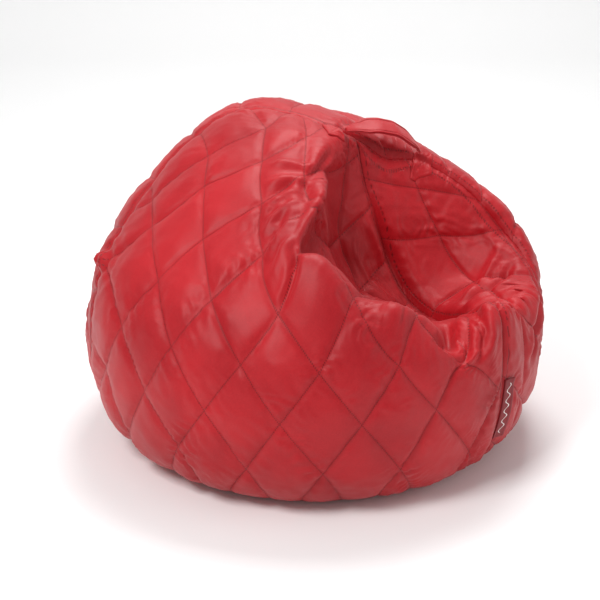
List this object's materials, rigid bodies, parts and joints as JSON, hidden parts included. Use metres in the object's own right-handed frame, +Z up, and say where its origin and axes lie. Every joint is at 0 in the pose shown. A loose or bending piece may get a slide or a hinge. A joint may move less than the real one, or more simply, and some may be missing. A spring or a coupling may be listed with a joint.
{
  "type": "quilted bean bag chair",
  "caption": "Child-size bean bag chair in diamond-quilted fabric with a seat hollow, carry strap, side label and zipped base.",
  "frame": {"origin": "middle of the bottom of the object's box, on the floor under the bag", "axes": "+Z up; the seat hollow opens toward -Y, so the sitter's back is at +Y; +X is the sitter's left, facing out of the seat toward -Y"},
  "size_m": [0.6231, 0.6174, 0.441],
  "materials": {
    "quilted_cloth": "fine plain-weave polyester with a slight sheen, quilted in diamonds",
    "base_cloth": "plain heavier coated weave",
    "zip_tape": "woven tape",
    "zip_plastic": "moulded",
    "zip_metal": "enamelled die-casting",
    "strap_cloth": "folded and topstitched",
    "label_tape": "damask woven ribbon",
    "care_tape": "printed satin tape",
    "liner_cloth": "light spun-bond cloth",
    "beads": "expanded polystyrene beads"
  },
  "bodies": {
    "bag": {"front_left_panel": "quilted_cloth", "front_right_panel": "quilted_cloth", "back_panel": "quilted_cloth", "base_front": "base_cloth", "base_rear": "base_cloth", "zip_tape_front": "zip_tape", "zip_tape_rear": "zip_tape", "zip_teeth_front": "zip_plastic", "zip_teeth_rear": "zip_plastic", "zip_stop_start": "zip_plastic", "zip_stop_end": "zip_plastic", "handle_end_left": "strap_cloth", "handle_end_right": "strap_cloth", "care_label": "care_tape", "inner_liner": "liner_cloth", "bead_fill": "beads"},
    "strap": {"handle_strap": "strap_cloth"},
    "label": {"side_label": "label_tape"},
    "slider": {"zip_slider": "zip_metal"}
  },
  "joints": [
    {"name": "strap_swing", "type": "hinge", "parent": "bag", "child": "strap", "pos_m": [0.0931, -0.0065, 0.4022], "axis": [0.9416, -0.0319, -0.3352], "range_deg": [-35, 35]},
    {"name": "label_flap", "type": "hinge", "parent": "bag", "child": "label", "pos_m": [0.1525, -0.2644, 0.109], "axis": [0.062, -0.107, 0.9923], "range_deg": [-100, 0]},
    {"name": "base_zip", "type": "slide", "parent": "bag", "child": "slider", "axis": [-1, 0, 0], "range_m": [0, 0.3]}
  ]
}
